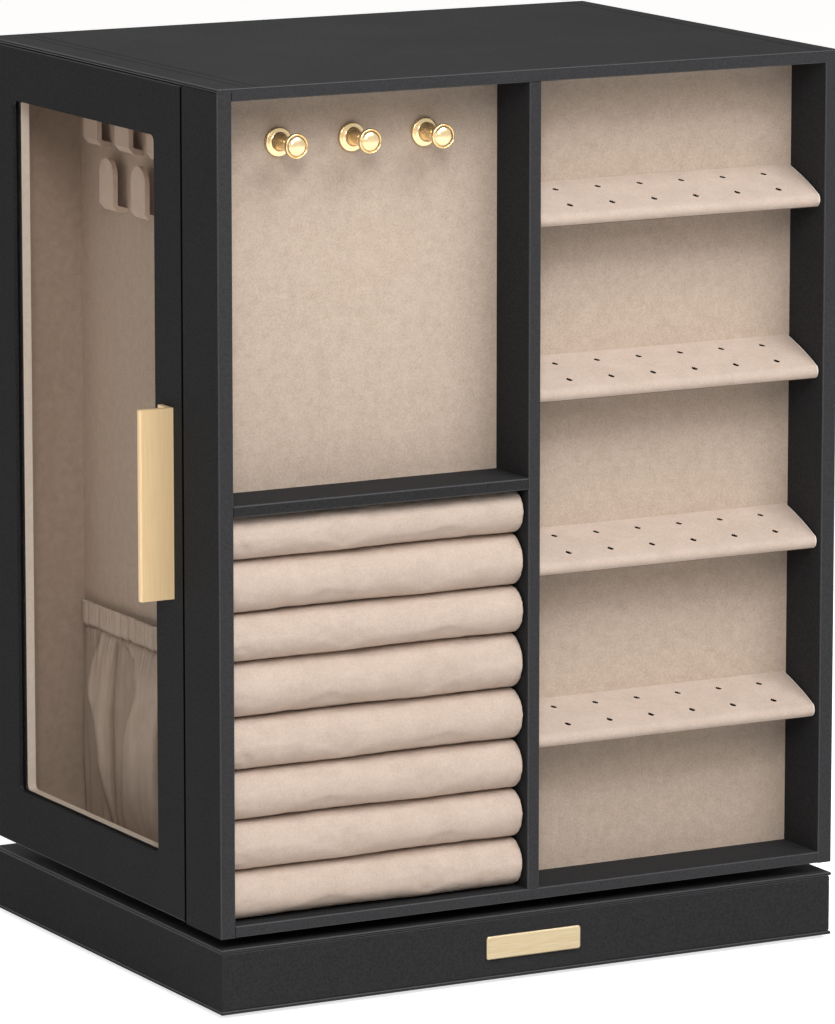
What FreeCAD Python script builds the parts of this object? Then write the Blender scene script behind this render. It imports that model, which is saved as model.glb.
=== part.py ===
# Rotating jewelry box: a fixed plinth, a cabinet that turns on it, and two windowed side doors.
# Millimetres, +Z up. The origin is on the turning axis, at the level of the feet's undersides.
# The open display side faces -Y, and the doors swing about their rear edges.

import FreeCAD, Part
import math
import os

V = FreeCAD.Vector

# Overall sizes
body_width = 260.0
body_depth = 192.0
body_height = 310.0
base_height = 24.5
foot_height = 1.5
turntable_gap = 4.0
edge_round = 0.7

# Base
thin_board = 1.5
plinth_inset = 0.5
plinth_wall = 9.0
core_board = 8.0
core_clearance = 0.2
foot_size = 16.0
foot_bevel = 0.5
foot_inset = 20.0
badge_width = 40.0
badge_height = 8.8
badge_thickness = 1.2
badge_bevel = 0.4
badge_corner = 1.0

# Turntable
plate_side = 110.0
plate_corner = 10.0
plate_thickness = 1.5
glide_size = 12.0
glide_radius = 42.0
pivot_radius = 3.0
pivot_head_radius = 5.5
pivot_head = 1.0
pivot_clearance = 0.06
pivot_play = 0.05
recess_clearance = 0.4

# Cabinet boards
side_wall = 6.0
front_frame_depth = 28.5
top_thickness = 4.8
floor_thickness = 4.4
divider_thickness = 5.0
shelf_thickness = 4.4
shelf_rise = 2.0
back_board = 3.0
lining = 1.0
inner_panel = 4.0
side_bay_depth = 28.8
rear_panel_thickness = 5.0
mirror_thickness = 2.0
mirror_margin = 12.0
mirror_clearance = 0.2
post_width = 5.5
front_post_depth = 11.0
rear_post_depth = 5.0

# Side doors
door_skin = 3.5
door_inner = 3.4
door_rail = 22.0
door_gap = 0.3
inner_frame_inset = 0.8
window_corner = 2.5
pane_thickness = 1.0
pane_setback = 1.4
pane_bite = 2.0
pane_clearance = 0.1

# Door handle
handle_reach = 13.5
handle_height = 70.6
handle_thickness = 2.2
handle_foot = 9.0
handle_foot_thickness = 1.8
handle_chamfer = 0.6
handle_setback = 7.4

# Door hinges
hinge_length = 24.0
hinge_inset = 45.0
leaf_thickness = 0.8
leaf_gap = 0.3
leaf_width = 8.3
knuckle_radius = 1.5
knuckle_gap = 0.15
pin_radius = 0.6
pin_clearance = 0.06
pin_sink = 0.8
hinge_relief = 0.4

# Magnetic catches
magnet_width = 6.0
magnet_height = 12.0
magnet_depth = 3.0
magnet_clearance = 0.05
strike_border = 1.0
strike_thickness = 0.8
catch_setback = 5.5

# Display fittings
knob_count = 3
knob_pitch = 30.0
knob_drop = 18.8
knob_length = 17.0
knob_flange_radius = 5.4
knob_flange = 1.5
knob_neck_radius = 2.3
knob_head_radius = 4.7
knob_head = 3.0
knob_head_bevel = 1.2
roll_count = 8
roll_gap = 0.3
roll_setback = 1.5
roll_end_gap = 1.0
roll_end_round = 5.0
roll_end_turn = 60.0
roll_end_steps = 1
earring_shelf_count = 4
earring_top_drop = 40.4
earring_bottom_rise = 65.8
earring_shelf_setback = 2.0
earring_shelf_thickness = 5.0
earring_shelf_fall = 11.5
earring_shelf_crown = 0.7
earring_nose_radius = 2.5
earring_end_gap = 0.4
earring_slit_length = 2.0
earring_slit_width = 0.6
earring_slit_pitch = 17.9
earring_slit_columns = 6
earring_row_setback = 6.6
earring_row_pitch = 10.7

# Side bay fittings
hook_count = 5
hook_pitch = 26.9
hook_width = 12.0
hook_height = 19.5
hook_thickness = 1.9
hook_standoff = 6.2
hook_slope = 1.2
hook_corner = 2.0
hook_top_drop = 15.5
hook_row_pitch = 23.5
hook_centre = 8.2
pocket_height = 86.5
pocket_cloth = 1.2
pocket_bulge = 11.0
pocket_belly = 35.0
pocket_band = 10.0
pocket_mouth = 6.5
pocket_foot = 3.0
pocket_folds = 3
pocket_fold_depth = 1.0
pocket_side_gap = 1.0

# Levels and planes that the sizes above give
base_bottom = foot_height
base_top = base_bottom + base_height
body_bottom = base_top + turntable_gap
body_top = body_bottom + body_height
inner_bottom = body_bottom + floor_thickness
inner_top = body_top - top_thickness
half_width = body_width / 2
front = -body_depth / 2
rear = body_depth / 2
seam = front + front_frame_depth
lining_front = seam - back_board - lining
board_front = seam - back_board
bay_side = half_width - side_wall
door_depth = door_skin + door_inner
carcass_side = half_width - door_depth - door_gap
bay_wall = carcass_side - side_bay_depth
inner_side = bay_wall - lining
rear_wall = rear - rear_panel_thickness
rear_lining = rear_wall - lining
door_front = seam + door_gap
door_bottom = body_bottom + door_gap
door_top = body_top - thin_board - door_gap
window_front = door_front + door_rail
window_rear = rear - door_rail
window_bottom = body_bottom + door_rail
window_top = body_top - door_rail
door_back = half_width - door_depth
cabinet_leaf_back = carcass_side + leaf_thickness
door_leaf_face = cabinet_leaf_back + leaf_gap
door_leaf_back = door_leaf_face + leaf_thickness
hinge_x = (cabinet_leaf_back + door_leaf_face) / 2
hinge_y = rear - pin_sink
hinge_heights = [body_bottom + hinge_inset, body_top - hinge_inset]
handle_y = door_front + handle_setback
middle_height = (body_bottom + body_top) / 2


def box(x_low, x_high, y_low, y_high, z_low, z_high):
    corner = V(x_low, y_low, z_low)
    return Part.makeBox(x_high - x_low, y_high - y_low, z_high - z_low, corner)


def round_where(shape, radius, chosen):
    """Round the edges whose middle point passes the test."""
    edges = [edge for edge in shape.Edges if chosen(edge.CenterOfMass)]
    return shape.makeFillet(radius, edges)


def near(a, b):
    return abs(a - b) < 0.01


def cylinder(radius, length, base, direction):
    return Part.makeCylinder(radius, length, base, direction)


def face_of(points):
    """A flat face inside a closed outline; three-point tuples are arcs."""
    edges = []
    for piece in points:
        if len(piece) == 3:
            edges.append(Part.Arc(*piece).toShape())
        else:
            edges.append(Part.LineSegment(*piece).toShape())
    return Part.Face(Part.Wire(edges))


def mirrored(shape):
    return shape.mirror(V(0, 0, 0), V(1, 0, 0))


def both_sides(shape):
    return [shape, mirrored(shape)]


# Base: wrapped boards, with the thin top and bottom boards standing proud of the plinth walls


def thin_lip(z_low):
    """A thin board whose long edges are rounded above and below."""
    board = box(-half_width, half_width, front, rear, z_low, z_low + thin_board)
    return round_where(board, edge_round, lambda p: not near(p.z, z_low + thin_board / 2))


def base_bottom_board():
    return thin_lip(base_bottom)


def plinth_boards():
    """Four boards, mitred at the corners."""
    low = base_bottom + thin_board
    height = base_height - 2 * thin_board
    x_out = half_width - plinth_inset
    y_out = rear - plinth_inset
    x_in = x_out - plinth_wall
    y_in = y_out - plinth_wall
    boards = []
    for sign in (-1, 1):
        across = [V(-x_out, sign * y_out, low), V(x_out, sign * y_out, low),
                  V(x_in, sign * y_in, low), V(-x_in, sign * y_in, low)]
        along = [V(sign * x_out, -y_out, low), V(sign * x_out, y_out, low),
                 V(sign * x_in, y_in, low), V(sign * x_in, -y_in, low)]
        for corners in (across, along):
            outline = Part.makePolygon(corners + [corners[0]])
            board = Part.Face(outline).extrude(V(0, 0, height))
            outside = [edge for edge in board.Edges if outer_level_edge(edge, x_out, y_out)]
            boards.append(board.makeFillet(edge_round, outside))
    return Part.makeCompound(boards)


def outer_level_edge(edge, x_out, y_out):
    """True for the long level edges on a plinth board's outer face."""
    p = edge.CenterOfMass
    level = abs(edge.tangentAt(edge.FirstParameter).z) < 0.1
    return level and (near(abs(p.x), x_out) or near(abs(p.y), y_out))


def base_top_board():
    """A thin lip over the plinth, with a thick core inside it that takes the turntable."""
    lip = thin_lip(base_top - thin_board)
    inset = plinth_inset + plinth_wall + core_clearance
    core_low = base_top - thin_board - core_board
    core = box(-half_width + inset, half_width - inset, front + inset, rear - inset,
               core_low, base_top - thin_board)
    return lip.fuse(core).removeSplitter()


def rubber_feet():
    feet = []
    half = foot_size / 2
    for sx in (-1, 1):
        for sy in (-1, 1):
            x = sx * (half_width - foot_inset)
            y = sy * (rear - foot_inset)
            foot = box(x - half, x + half, y - half, y + half, 0, foot_height)
            low_edges = [edge for edge in foot.Edges if near(edge.CenterOfMass.z, 0)]
            feet.append(foot.makeChamfer(foot_bevel, low_edges))
    return Part.makeCompound(feet)


def badge_plate():
    """A bare plate with small corner radii and a bevel round its face."""
    plinth_face = front + plinth_inset
    middle = base_bottom + base_height / 2
    plate = box(-badge_width / 2, badge_width / 2, plinth_face - badge_thickness, plinth_face,
                middle - badge_height / 2, middle + badge_height / 2)
    corners = [edge for edge in plate.Edges if abs(edge.tangentAt(edge.FirstParameter).y) > 0.9]
    plate = plate.makeFillet(badge_corner, corners)
    face_edges = [edge for edge in plate.Edges
                  if near(edge.CenterOfMass.y, plinth_face - badge_thickness)]
    return plate.makeChamfer(badge_bevel, face_edges)


# Turntable: two square plates with glide pads between them, and the pivot that the upper one turns on


def plate(z_low, bore):
    half = plate_side / 2
    square = box(-half, half, -half, half, z_low, z_low + plate_thickness)
    corners = [edge for edge in square.Edges if near(edge.CenterOfMass.z, z_low + plate_thickness / 2)]
    square = square.makeChamfer(plate_corner, corners)
    return square.cut(cylinder(bore, plate_thickness, V(0, 0, z_low), V(0, 0, 1)))


def turntable_lower_plate():
    return plate(base_top, pivot_radius)


def turntable_upper_plate():
    return plate(body_bottom - plate_thickness, pivot_radius + pivot_clearance)


def turntable_glides():
    """Four pads on the lower plate that the upper one slides on."""
    low = base_top + plate_thickness
    high = body_bottom - plate_thickness
    half = glide_size / 2
    pad = box(glide_radius - half, glide_radius + half, -half, half, low, high)
    pads = []
    for quarter in range(4):
        turned = pad.copy()
        turned.rotate(V(0, 0, 0), V(0, 0, 1), 90 * quarter)
        pads.append(turned)
    return Part.makeCompound(pads)


def turntable_pivot():
    """A pin with a six-sided head, riveted into the lower plate."""
    head_low = body_bottom + pivot_play
    corners = []
    for index in range(7):
        angle = math.radians(60 * index)
        corners.append(V(pivot_head_radius * math.cos(angle), pivot_head_radius * math.sin(angle), head_low))
    head = Part.Face(Part.makePolygon(corners)).extrude(V(0, 0, pivot_head))
    shank = cylinder(pivot_radius, head_low - base_top, V(0, 0, base_top), V(0, 0, 1))
    return shank.fuse(head).removeSplitter()


# Cabinet boards


def floor_panel():
    """The floor runs between the front walls and the doors, with a recess for the pivot's head."""
    front_part = box(-bay_side, bay_side, front, seam, body_bottom, inner_bottom)
    rear_part = box(-carcass_side, carcass_side, seam, rear, body_bottom, inner_bottom)
    half = pivot_head_radius + recess_clearance
    recess_top = body_bottom + pivot_play + pivot_head + recess_clearance
    recess = box(-half, half, -half, half, body_bottom, recess_top)
    panel = front_part.fuse(rear_part).removeSplitter().cut(recess)
    return round_where(panel, edge_round, lambda p: near(p.y, front) and near(p.x, 0))


def top_panel():
    """A thick board whose lip reaches out over the front walls and the doors."""
    lip_low = body_top - thin_board
    lip = box(-half_width, half_width, front, rear, lip_low, body_top)
    front_core = box(-bay_side, bay_side, front, seam, inner_top, lip_low)
    rear_core = box(-carcass_side, carcass_side, seam, rear, inner_top, lip_low)
    panel = lip.fuse(front_core).fuse(rear_core).removeSplitter()

    def wrapped(p):
        under_lip = near(abs(p.x), half_width) and near(p.z, lip_low)
        return near(p.z, body_top) or under_lip or near(p.y, front) and near(p.z, inner_top)

    return round_where(panel, edge_round, wrapped)


def left_side_wall():
    wall = box(-half_width, -bay_side, front, seam, body_bottom, body_top - thin_board)
    return round_where(wall, edge_round, lambda p: near(p.z, (body_bottom + body_top - thin_board) / 2))


def centre_divider():
    half = divider_thickness / 2
    divider = box(-half, half, front, board_front, inner_bottom, inner_top)
    middle = (inner_bottom + inner_top) / 2
    return round_where(divider, edge_round, lambda p: near(p.y, front) and near(p.z, middle))


shelf_low = middle_height + shelf_rise - shelf_thickness / 2
shelf_high = shelf_low + shelf_thickness
divider_face = divider_thickness / 2


def middle_shelf():
    shelf = box(-bay_side, -divider_face, front, board_front, shelf_low, shelf_high)
    middle = -(bay_side + divider_face) / 2
    return round_where(shelf, edge_round, lambda p: near(p.y, front) and near(p.x, middle))


def display_back_board():
    return box(-bay_side, bay_side, board_front, seam, inner_bottom, inner_top)


def display_linings():
    """Velvet-covered card behind the knobs, the ring rolls and the earring shelves."""
    hook_bay = box(-bay_side, -divider_face, lining_front, board_front, shelf_high, inner_top)
    ring_bay = box(-bay_side, -divider_face, lining_front, board_front, inner_bottom, shelf_low)
    earring_bay = box(divider_face, bay_side, lining_front, board_front, inner_bottom, inner_top)
    return Part.makeCompound([hook_bay, ring_bay, earring_bay])


def left_inner_panel():
    return box(-inner_side, -inner_side + inner_panel, seam, rear_wall, inner_bottom, inner_top)


def left_bay_lining():
    """A velvet-covered tray, open towards the door."""
    tray = box(-carcass_side, -inner_side, seam, rear_wall, inner_bottom, inner_top)
    hollow = box(-carcass_side - lining, -bay_wall, seam + lining, rear_lining,
                 inner_bottom + lining, inner_top - lining)
    return tray.cut(hollow)


def door_posts():
    """Slim posts inside each tray's mouth: the doors close on the front ones and hang on the rear."""
    low = inner_bottom + lining
    high = inner_top - lining
    posts = []
    front_post = box(-carcass_side, -carcass_side + post_width, seam + lining,
                     seam + lining + front_post_depth, low, high)
    front_post = front_post.cut(magnet(magnet_clearance))
    rear_post = box(-carcass_side, -carcass_side + post_width, rear_lining - rear_post_depth,
                    rear_lining, low, high)
    for post in (front_post, rear_post):
        posts += both_sides(post)
    return Part.makeCompound(posts)


def rear_panel():
    panel = box(-carcass_side, carcass_side, rear_wall, rear, inner_bottom, inner_top)
    margin = mirror_margin - mirror_clearance
    recess = box(-carcass_side + margin, carcass_side - margin, rear - mirror_thickness, rear,
                 inner_bottom + margin, inner_top - margin)
    panel = panel.cut(recess)
    for relief in both_sides(barrel_relief()):
        panel = panel.cut(relief)
    return panel


def rear_mirror():
    mirror = box(-carcass_side + mirror_margin, carcass_side - mirror_margin,
                 rear - mirror_thickness, rear - mirror_clearance,
                 inner_bottom + mirror_margin, inner_top - mirror_margin)
    return mirror


# Display fittings


def knob_outline():
    """Half the knob's section, with X as its radius and Z as its height off the lining."""
    head_back = knob_length - knob_head
    return [
        V(0, 0, 0),
        V(knob_flange_radius, 0, 0),
        V(knob_flange_radius, 0, knob_flange),
        V(knob_neck_radius, 0, knob_flange),
        V(knob_neck_radius, 0, head_back),
        V(knob_head_radius, 0, head_back),
        V(knob_head_radius, 0, knob_length - knob_head_bevel),
        V(knob_head_radius - knob_head_bevel, 0, knob_length),
        V(0, 0, knob_length),
        V(0, 0, 0),
    ]


def knob_hooks():
    """Turned knobs: a round flange on the lining, a slim neck and a thick, bevelled head."""
    bay_middle = -(bay_side + divider_face) / 2
    section = Part.Face(Part.makePolygon(knob_outline()))
    turned = section.revolve(V(0, 0, 0), V(0, 0, 1), 360)
    turned.rotate(V(0, 0, 0), V(1, 0, 0), 90)
    knobs = []
    for index in range(knob_count):
        x = bay_middle + (index - (knob_count - 1) / 2) * knob_pitch
        knobs.append(turned.translated(V(x, lining_front, inner_top - knob_drop)))
    return Part.makeCompound(knobs)


roll_pitch = (shelf_low - inner_bottom) / roll_count


def roll_section(x, z_middle, drawn_in):
    """A round-fronted section, drawn in towards its middle line and the lining at the roll's end."""
    half = (roll_pitch - roll_gap) / 2 - drawn_in
    depth = lining_front - front - roll_setback - drawn_in
    back = lining_front
    arc_y = back - depth + half
    nose_y = back - depth
    lean = half * math.sqrt(0.5)
    edges = [
        (V(x, back, z_middle - half), V(x, back, z_middle + half)),
        (V(x, back, z_middle + half), V(x, arc_y, z_middle + half)),
        (V(x, arc_y, z_middle + half), V(x, arc_y - lean, z_middle + lean), V(x, nose_y, z_middle)),
        (V(x, nose_y, z_middle), V(x, arc_y - lean, z_middle - lean), V(x, arc_y, z_middle - half)),
        (V(x, arc_y, z_middle - half), V(x, back, z_middle - half)),
    ]
    return face_of(edges).OuterWire


def ring_roll(index):
    """A velvet roll, cut square at the wall and rounded off at the divider."""
    z_middle = shelf_low - (index + 0.5) * roll_pitch
    x_left = -bay_side + roll_gap
    x_right = -divider_face - roll_end_gap
    sections = [roll_section(x_left, z_middle, 0)]
    for step in range(roll_end_steps + 1):
        angle = math.radians(roll_end_turn * step / roll_end_steps)
        along = math.sin(angle) / math.sin(math.radians(roll_end_turn))
        x = x_right - roll_end_round * (1 - along)
        sections.append(roll_section(x, z_middle, roll_end_round * (1 - math.cos(angle))))
    return Part.makeLoft(sections, True, True)


def earring_profile(x, z_back):
    """The sloping shelf's section: a crowned top, a half-round nose and a flat underside."""
    radius = earring_nose_radius
    nose = V(x, front + earring_shelf_setback + radius, z_back - earring_shelf_fall)
    slope = math.atan2(earring_shelf_fall - radius, lining_front - nose.y)
    across = V(0, -math.sin(slope), math.cos(slope))
    along = V(0, -math.cos(slope), -math.sin(slope))
    back_top = V(x, lining_front, z_back)
    back_low = V(x, lining_front, z_back - earring_shelf_thickness)
    nose_top = nose + across * radius
    nose_low = nose - across * radius
    crown = (back_top + nose_top) * 0.5 + across * earring_shelf_crown
    return face_of([
        (back_low, back_top),
        (back_top, crown, nose_top),
        (nose_top, nose + along * radius, nose_low),
        (nose_low, back_low),
    ])


earring_shelf_span = inner_top - earring_top_drop - inner_bottom - earring_bottom_rise


def earring_shelf(index):
    """A padded velvet shelf with two rows of slits for earrings."""
    z_back = inner_top - earring_top_drop - index * earring_shelf_span / (earring_shelf_count - 1)
    x_low = divider_face + earring_end_gap
    x_high = bay_side - earring_end_gap
    shelf = earring_profile(x_low, z_back).extrude(V(x_high - x_low, 0, 0))
    z_low = z_back - earring_shelf_fall - earring_shelf_thickness
    for column in range(earring_slit_columns):
        x = (x_low + x_high) / 2 + (column - (earring_slit_columns - 1) / 2) * earring_slit_pitch
        for row in range(2):
            y = lining_front - earring_row_setback - row * earring_row_pitch
            slit = box(x - earring_slit_length / 2, x + earring_slit_length / 2,
                       y - earring_slit_width / 2, y + earring_slit_width / 2, z_low, z_back)
            shelf = shelf.cut(slit)
    return shelf


# Side bay fittings


def necklace_hook(y_middle, z_top):
    """A moulded tab with a round top, carried on an arm that rises a little from the panel."""
    face = -bay_wall
    tab_back = face - hook_standoff + hook_thickness
    tab_face = face - hook_standoff
    z_low = z_top - hook_height
    outline = [
        V(tab_face, 0, z_top),
        V(tab_face, 0, z_low),
        V(face, 0, z_low - hook_slope),
        V(face, 0, z_low - hook_slope + hook_thickness),
        V(tab_back, 0, z_low + hook_thickness),
        V(tab_back, 0, z_top),
    ]
    profile = Part.Face(Part.makePolygon(outline + [outline[0]]))
    hook = profile.extrude(V(0, hook_width, 0))
    hook.translate(V(0, y_middle - hook_width / 2, 0))
    corner = [edge for edge in hook.Edges
              if near(edge.CenterOfMass.x, tab_face) and near(edge.CenterOfMass.z, z_low)]
    hook = hook.makeChamfer(hook_corner, corner)
    half = hook_width / 2
    top_middle = V(tab_face, y_middle, z_top - half)
    rounding = cylinder(half, hook_standoff, top_middle, V(1, 0, 0))
    below = box(tab_face, face, y_middle - half, y_middle + half, z_low - hook_height, z_top - half)
    return hook.common(rounding.fuse(below)).removeSplitter()


def left_necklace_hooks():
    hooks = []
    for row in range(2):
        z_top = inner_top - hook_top_drop - row * hook_row_pitch
        stagger = hook_pitch / 4 * (1 if row == 0 else -1)
        for index in range(hook_count):
            y = hook_centre + stagger + (index - (hook_count - 1) / 2) * hook_pitch
            hooks.append(necklace_hook(y, z_top))
    return Part.makeCompound(hooks)


def pocket_line(z, reach, thickness):
    """One level of the cloth: it bows out from end to end, and each fold is a shallow arc."""
    y_low = seam + lining + pocket_side_gap
    y_high = rear_lining - pocket_side_gap
    points = []
    for index in range(pocket_folds + 1):
        share = index / pocket_folds
        x = -bay_wall - thickness - reach * math.sin(math.pi * share)
        points.append(V(x, y_low + (y_high - y_low) * share, z))
    fold = V(-pocket_fold_depth, 0, 0)
    return [(low, (low + high) * 0.5 + fold, high) for low, high in zip(points, points[1:])]


def pocket_wire(z, reach):
    """The cloth's outline at one level: outer folds, inner folds and two short ends."""
    outer = pocket_line(z, reach, pocket_cloth)
    inner = pocket_line(z, reach, 0)
    start = (inner[0][0], outer[0][0])
    finish = (outer[-1][2], inner[-1][2])
    back = [(high, middle, low) for low, middle, high in reversed(inner)]
    return face_of([start] + outer + [finish] + back).OuterWire


def left_pocket():
    """A gathered pocket: drawn in at the elastic band, full below it, tucked in at the floor."""
    low = inner_bottom + lining
    high = low + pocket_height
    levels = [
        pocket_wire(low, pocket_foot),
        pocket_wire(low + pocket_belly, pocket_bulge),
        pocket_wire(high - pocket_band, pocket_mouth),
        pocket_wire(high, pocket_mouth),
    ]
    return Part.makeLoft(levels, True, True)


# Hinges: two at each door's rear edge, with the barrel half sunk in the corner


def barrel_relief():
    """Room for the barrels of one side, cut from whatever lies beside them."""
    room = []
    for z in hinge_heights:
        length = hinge_length + 2 * hinge_relief
        room.append(cylinder(knuckle_radius + hinge_relief, length,
                             V(-hinge_x, hinge_y, z - length / 2), V(0, 0, 1)))
    return room[0].fuse(room[1])


def hinge_leaf(x_low, x_high, z_middle, knuckles):
    """A leaf with its knuckles; each knuckle is a low and a high share of the hinge length."""
    edge_y = hinge_y - knuckle_radius - hinge_relief
    z_low = z_middle - hinge_length / 2
    leaf = box(x_low, x_high, edge_y - leaf_width, edge_y, z_low, z_low + hinge_length)
    for low, high in knuckles:
        k_low = z_low + low * hinge_length + (knuckle_gap if low > 0 else 0)
        k_high = z_low + high * hinge_length - (knuckle_gap if high < 1 else 0)
        tongue = box(x_low, x_high, edge_y, hinge_y, k_low, k_high)
        barrel = cylinder(knuckle_radius, k_high - k_low, V(-hinge_x, hinge_y, k_low), V(0, 0, 1))
        leaf = leaf.fuse(tongue).fuse(barrel)
    return leaf.removeSplitter()


def left_cabinet_leaf(z_middle):
    """The outer knuckles are closed at their ends and hold the pin between them."""
    knuckles = [(0, 1 / 3), (2 / 3, 1)]
    return hinge_leaf(-cabinet_leaf_back, -carcass_side, z_middle, knuckles)


def left_door_leaf(z_middle):
    leaf = hinge_leaf(-door_leaf_back, -door_leaf_face, z_middle, [(1 / 3, 2 / 3)])
    bore = cylinder(pin_radius + pin_clearance, hinge_length,
                    V(-hinge_x, hinge_y, z_middle - hinge_length / 2), V(0, 0, 1))
    return leaf.cut(bore)


def cabinet_hinge_leaves():
    leaves = []
    for z in hinge_heights:
        leaves += both_sides(left_cabinet_leaf(z))
    return Part.makeCompound(leaves)


def left_pin(z_middle):
    length = hinge_length / 3 + 2 * knuckle_gap
    return cylinder(pin_radius, length, V(-hinge_x, hinge_y, z_middle - length / 2), V(0, 0, 1))


def hinge_pins():
    pins = []
    for z in hinge_heights:
        pins += both_sides(left_pin(z))
    return Part.makeCompound(pins)


# Magnetic catches: a block magnet in each front post and a steel plate in the door facing it


catch_y = seam + lining + catch_setback


def magnet(grow):
    half_y = magnet_width / 2 + grow
    half_z = magnet_height / 2 + grow
    return box(-carcass_side, -carcass_side + magnet_depth, catch_y - half_y, catch_y + half_y,
               middle_height - half_z, middle_height + half_z)


def door_magnets():
    return Part.makeCompound(both_sides(magnet(0)))


def left_door_strike_plate():
    half_y = magnet_width / 2 + strike_border
    half_z = magnet_height / 2 + strike_border
    return box(-door_back - strike_thickness, -door_back, catch_y - half_y, catch_y + half_y,
               middle_height - half_z, middle_height + half_z)


# Left door: a wrapped frame outside, a velvet frame inside and a clear pane in a groove between


def window(x_low, x_high, grow, corner):
    hole = box(x_low, x_high, window_front - grow, window_rear + grow,
               window_bottom - grow, window_top + grow)
    across = [edge for edge in hole.Edges if abs(edge.tangentAt(edge.FirstParameter).x) > 0.9]
    return hole.makeFillet(corner, across)


def left_door_frame():
    x_inner = -half_width + door_skin
    frame = box(-half_width, x_inner, door_front, rear, door_bottom, door_top)
    frame = round_where(frame, edge_round, lambda p: near(p.x, -half_width))
    frame = frame.cut(window(-half_width, x_inner, 0, window_corner))
    groove_face = -half_width + pane_setback
    groove = box(groove_face, groove_face + pane_thickness + 2 * pane_clearance,
                 window_front - pane_bite, window_rear + pane_bite,
                 window_bottom - pane_bite, window_top + pane_bite)
    return frame.cut(groove)


def left_door_pane():
    face = -half_width + pane_setback + pane_clearance
    grow = pane_bite - pane_clearance
    return box(face, face + pane_thickness, window_front - grow, window_rear + grow,
               window_bottom - grow, window_top + grow)


def left_door_inner_frame():
    x_low = -half_width + door_skin
    frame = box(x_low, -door_back, door_front + inner_frame_inset, rear - inner_frame_inset,
                door_bottom + inner_frame_inset, door_top - inner_frame_inset)
    frame = frame.cut(window(x_low, -door_back, 0, window_corner))
    frame = frame.cut(barrel_relief())
    edge_y = hinge_y - knuckle_radius - hinge_relief
    for z in hinge_heights:
        half = hinge_length / 2 + hinge_relief
        pocket = box(-door_leaf_back, -door_back, edge_y - leaf_width - hinge_relief, rear,
                     z - half, z + half)
        frame = frame.cut(pocket)
    return frame.cut(left_door_strike_plate())


def left_door_handle():
    """An angle section: the wide leg stands out from the door, the short one lies on it."""
    x_face = -half_width
    x_tip = x_face - handle_reach
    y_low = handle_y
    y_high = handle_y + handle_thickness
    c = handle_chamfer
    outline = [
        V(x_face, y_low, 0),
        V(x_tip + c, y_low, 0),
        V(x_tip, y_low + c, 0),
        V(x_tip, y_high, 0),
        V(x_face - handle_foot_thickness, y_high, 0),
        V(x_face - handle_foot_thickness, handle_y + handle_foot, 0),
        V(x_face, handle_y + handle_foot, 0),
    ]
    face = Part.Face(Part.makePolygon(outline + [outline[0]]))
    handle = face.extrude(V(0, 0, handle_height))
    return handle.translated(V(0, 0, middle_height - handle_height / 2))


def left_door_hinge_leaves():
    return Part.makeCompound([left_door_leaf(z) for z in hinge_heights])


left_door_pieces = {
    "door_frame": left_door_frame,
    "door_pane": left_door_pane,
    "door_inner_frame": left_door_inner_frame,
    "door_handle": left_door_handle,
    "door_hinge_leaves": left_door_hinge_leaves,
    "door_strike_plate": left_door_strike_plate,
}

mirrored_cabinet_pieces = {
    "side_wall": left_side_wall,
    "inner_panel": left_inner_panel,
    "bay_lining": left_bay_lining,
    "necklace_hooks": left_necklace_hooks,
    "pocket": left_pocket,
}

single_pieces = [
    base_bottom_board, plinth_boards, base_top_board, rubber_feet, badge_plate,
    turntable_lower_plate, turntable_glides, turntable_pivot, turntable_upper_plate,
    top_panel, floor_panel, centre_divider, middle_shelf, display_back_board, display_linings,
    door_posts, rear_panel, rear_mirror, knob_hooks,
    cabinet_hinge_leaves, hinge_pins, door_magnets,
]


def all_pieces():
    pieces = {}
    for make in single_pieces:
        pieces[make.__name__] = make()
    for group in (left_door_pieces, mirrored_cabinet_pieces):
        for name, make in group.items():
            shape = make()
            pieces["left_" + name] = shape
            pieces["right_" + name] = mirrored(shape)
    for index in range(roll_count):
        pieces[f"ring_roll_{index + 1}"] = ring_roll(index)
    for index in range(earring_shelf_count):
        pieces[f"earring_shelf_{index + 1}"] = earring_shelf(index)
    return pieces


os.makedirs("parts", exist_ok=True)
for name, shape in all_pieces().items():
    shape.exportStep(f"parts/{name}.step")
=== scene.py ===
# Looks of the rotating jewelry box: a leatherette cabinet with velvet fittings on a turning base.
# Everything is in metres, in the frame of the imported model: the open display side faces -Y.

import bpy
import math
from mathutils import Matrix, Vector, noise


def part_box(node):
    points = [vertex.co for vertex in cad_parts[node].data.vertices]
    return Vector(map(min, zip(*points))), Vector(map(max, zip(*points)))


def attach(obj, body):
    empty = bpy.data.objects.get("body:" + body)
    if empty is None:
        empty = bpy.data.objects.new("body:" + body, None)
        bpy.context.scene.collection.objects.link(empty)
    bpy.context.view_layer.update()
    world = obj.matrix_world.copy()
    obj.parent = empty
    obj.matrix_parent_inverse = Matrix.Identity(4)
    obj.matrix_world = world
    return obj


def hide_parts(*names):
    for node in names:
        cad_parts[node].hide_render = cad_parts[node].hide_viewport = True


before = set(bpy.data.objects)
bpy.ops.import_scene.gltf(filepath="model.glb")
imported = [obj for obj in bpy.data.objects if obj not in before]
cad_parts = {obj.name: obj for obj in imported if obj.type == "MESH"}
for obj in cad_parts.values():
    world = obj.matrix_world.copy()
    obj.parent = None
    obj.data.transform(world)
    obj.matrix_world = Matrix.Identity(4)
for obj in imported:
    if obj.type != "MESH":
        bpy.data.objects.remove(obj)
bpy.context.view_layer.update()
MM = 0.001


# Wrapped boards
# The cabinet and its base are fibreboard wrapped in black polyurethane leatherette. The sheet is
# embossed with a fine pebble grain and pulled tight over the edges, which catch the light.

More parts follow.
